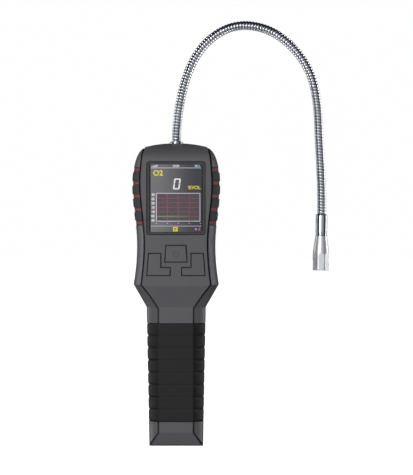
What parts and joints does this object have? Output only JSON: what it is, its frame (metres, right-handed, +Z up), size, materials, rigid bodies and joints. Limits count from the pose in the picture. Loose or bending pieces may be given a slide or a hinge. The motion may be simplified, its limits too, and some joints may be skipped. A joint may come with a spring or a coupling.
{
  "type": "portable gas detector",
  "caption": "Hand-held gas detector with a colour screen, push keys, a ribbed rubber grip and a bendable gooseneck probe with a fluted sensor cap.",
  "frame": {"origin": "middle of the flat end of the handle, on the parting plane between the covers", "axes": "+Z up the handle towards the neck, -Y out of the screen, +X the side the neck arches over to"},
  "size_m": [0.1435, 0.0363, 0.3106],
  "materials": {
    "casing_grey": "fine spark texture, satin",
    "grip_rubber": "soft matt rubber",
    "band_red": "matt",
    "pad_rubber": "matt rubber",
    "bezel_grey": "satin",
    "window_glass": "polished",
    "display": "lit screen",
    "key_grey": "satin",
    "lamp_clear": "smoked light pipe",
    "seal_rubber": "matt",
    "board_green": "solder mask",
    "chip_black": "moulded",
    "plug_white": "moulded nylon",
    "mat_silicone": "silicone",
    "cell_wrap": "heat-shrunk film",
    "cradle_plastic": "moulded",
    "wire_red": "insulated wire",
    "steel": "machined",
    "chrome": "bright plated",
    "satin_silver": "satin turned",
    "mesh_steel": "sintered"
  },
  "bodies": {
    "casing": {"front_cover": "casing_grey", "back_cover": "casing_grey", "cover_seal": "seal_rubber", "grip_sleeve": "grip_rubber", "left_band": "band_red", "right_band": "band_red", "left_pads": "pad_rubber", "right_pads": "pad_rubber", "screen_bezel": "bezel_grey", "screen_glass": "window_glass", "display_panel": "display", "display_tray": "steel", "main_board": "board_green", "board_chips": "chip_black", "board_plugs": "plug_white", "board_screws": "steel", "key_mat": "mat_silicone", "key_board": "board_green", "status_lamp": "lamp_clear", "case_screws": "steel", "battery_cell": "cell_wrap", "battery_cradle": "cradle_plastic", "battery_lead": "wire_red", "sensor_lead": "wire_red", "buzzer": "chip_black", "vibration_motor": "steel", "charge_socket": "steel", "charge_board": "board_green", "neck_collar": "chrome", "neck_nut": "steel", "neck_root": "chrome"},
    "power_key": {"power_key": "key_grey"},
    "left_key": {"left_key": "key_grey"},
    "right_key": {"right_key": "key_grey"},
    "port_flap": {"port_flap": "seal_rubber"},
    "neck_link_01": {"neck_link_01": "chrome"},
    "neck_link_02": {"neck_link_02": "chrome"},
    "neck_link_03": {"neck_link_03": "chrome"},
    "neck_link_04": {"neck_link_04": "chrome"},
    "neck_link_05": {"neck_link_05": "chrome"},
    "neck_link_06": {"neck_link_06": "chrome"},
    "neck_link_07": {"neck_link_07": "chrome"},
    "neck_link_08": {"neck_link_08": "chrome"},
    "neck_link_09": {"neck_link_09": "chrome"},
    "neck_link_10": {"neck_link_10": "chrome"},
    "neck_link_11": {"neck_link_11": "chrome"},
    "neck_link_12": {"neck_link_12": "chrome"},
    "neck_link_13": {"neck_link_13": "chrome"},
    "neck_link_14": {"neck_link_14": "chrome"},
    "probe": {"neck_tail": "chrome", "ferrule": "chrome", "cap_ring": "seal_rubber", "sensor_cap": "satin_silver", "filter_mesh": "mesh_steel", "gas_sensor": "steel", "sensor_board": "board_green"}
  },
  "joints": [
    {"name": "neck_bend_01", "type": "hinge", "parent": "casing", "child": "neck_link_01", "pos_m": [0, 0, 0.23152], "axis": [0, 1, 0], "range_deg": [-23, 3]},
    {"name": "neck_side_02", "type": "hinge", "parent": "neck_link_01", "child": "neck_link_02", "pos_m": [0.0016, 0, 0.24293], "axis": [-0.9903, 0, 0.1392], "range_deg": [-20, 20]},
    {"name": "neck_bend_03", "type": "hinge", "parent": "neck_link_02", "child": "neck_link_03", "pos_m": [0.00321, 0, 0.25433], "axis": [0, 1, 0], "range_deg": [-23, 2]},
    {"name": "neck_bend_04", "type": "hinge", "parent": "neck_link_03", "child": "neck_link_04", "pos_m": [0.00958, 0, 0.27655], "axis": [0, 1, 0], "range_deg": [-32.5, 2]},
    {"name": "neck_bend_05", "type": "hinge", "parent": "neck_link_04", "child": "neck_link_05", "pos_m": [0.02244, 0, 0.29599], "axis": [0, 1, 0], "range_deg": [-42.5, 1]},
    {"name": "neck_bend_06", "type": "hinge", "parent": "neck_link_05", "child": "neck_link_06", "pos_m": [0.0431, 0, 0.30744], "axis": [0, 1, 0], "range_deg": [-51, 1]},
    {"name": "neck_side_07", "type": "hinge", "parent": "neck_link_06", "child": "neck_link_07", "pos_m": [0.05483, 0, 0.306], "axis": [0.1219, 0, 0.9925], "range_deg": [-20, 20]},
    {"name": "neck_bend_08", "type": "hinge", "parent": "neck_link_07", "child": "neck_link_08", "pos_m": [0.06656, 0, 0.30456], "axis": [0, 1, 0], "range_deg": [-43.5, 1]},
    {"name": "neck_bend_09", "type": "hinge", "parent": "neck_link_08", "child": "neck_link_09", "pos_m": [0.08559, 0, 0.29099], "axis": [0, 1, 0], "range_deg": [-35.5, 1]},
    {"name": "neck_bend_10", "type": "hinge", "parent": "neck_link_09", "child": "neck_link_10", "pos_m": [0.0986, 0, 0.27169], "axis": [0, 1, 0], "range_deg": [-37.5, 1]},
    {"name": "neck_bend_11", "type": "hinge", "parent": "neck_link_10", "child": "neck_link_11", "pos_m": [0.10322, 0, 0.24898], "axis": [0, 1, 0], "range_deg": [-24.5, 1]},
    {"name": "neck_side_12", "type": "hinge", "parent": "neck_link_11", "child": "neck_link_12", "pos_m": [0.10363, 0, 0.23748], "axis": [0.9994, 0, 0.0349], "range_deg": [-20, 20]},
    {"name": "neck_bend_13", "type": "hinge", "parent": "neck_link_12", "child": "neck_link_13", "pos_m": [0.10403, 0, 0.22597], "axis": [0, 1, 0], "range_deg": [-13.5, 1]},
    {"name": "neck_bend_14", "type": "hinge", "parent": "neck_link_13", "child": "neck_link_14", "pos_m": [0.10543, 0, 0.20301], "axis": [0, 1, 0], "range_deg": [-16.5, 1]},
    {"name": "neck_bend_15", "type": "hinge", "parent": "neck_link_14", "child": "probe", "pos_m": [0.10623, 0, 0.18002], "axis": [0, 1, 0], "range_deg": [-18, 1]},
    {"name": "power_key_press", "type": "slide", "parent": "casing", "child": "power_key", "axis": [0, 1, 0], "range_m": [0, 0.0008], "stiffness_N_per_m": 2500},
    {"name": "left_key_press", "type": "slide", "parent": "casing", "child": "left_key", "axis": [0, 1, 0], "range_m": [0, 0.0008], "stiffness_N_per_m": 2500},
    {"name": "right_key_press", "type": "slide", "parent": "casing", "child": "right_key", "axis": [0, 1, 0], "range_m": [0, 0.0008], "stiffness_N_per_m": 2500},
    {"name": "port_flap_hinge", "type": "hinge", "parent": "casing", "child": "port_flap", "pos_m": [0.0033, 0, 0.0006], "axis": [0, 1, 0], "range_deg": [0, 110]}
  ]
}
